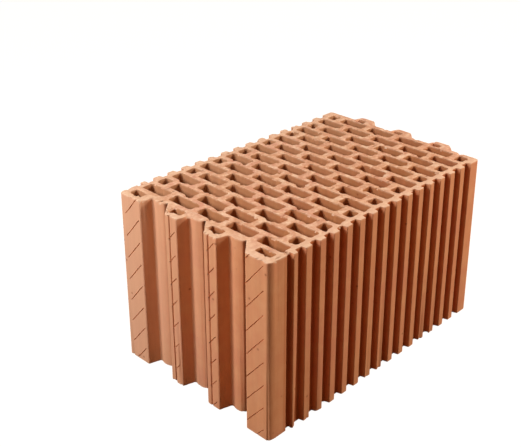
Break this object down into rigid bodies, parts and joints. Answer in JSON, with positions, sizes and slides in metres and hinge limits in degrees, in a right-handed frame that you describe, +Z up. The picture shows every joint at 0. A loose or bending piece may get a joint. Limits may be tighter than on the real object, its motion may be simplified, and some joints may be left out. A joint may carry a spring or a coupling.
{
  "type": "perforated clay block",
  "caption": "Fired clay wall block with vertical perforations in a running bond, tongue-and-groove ends and ribbed sides that key plaster.",
  "frame": {"origin": "centre of the bounding box on the lower bed face", "axes": "+X along the length from the grooved end to the tongued end, +Y across the wall, +Z up along the perforations"},
  "size_m": [0.388, 0.248, 0.219],
  "materials": {
    "fired_clay": "matte, porous"
  },
  "bodies": {
    "root": {"clay_block": "fired_clay"}
  },
  "joints": []
}
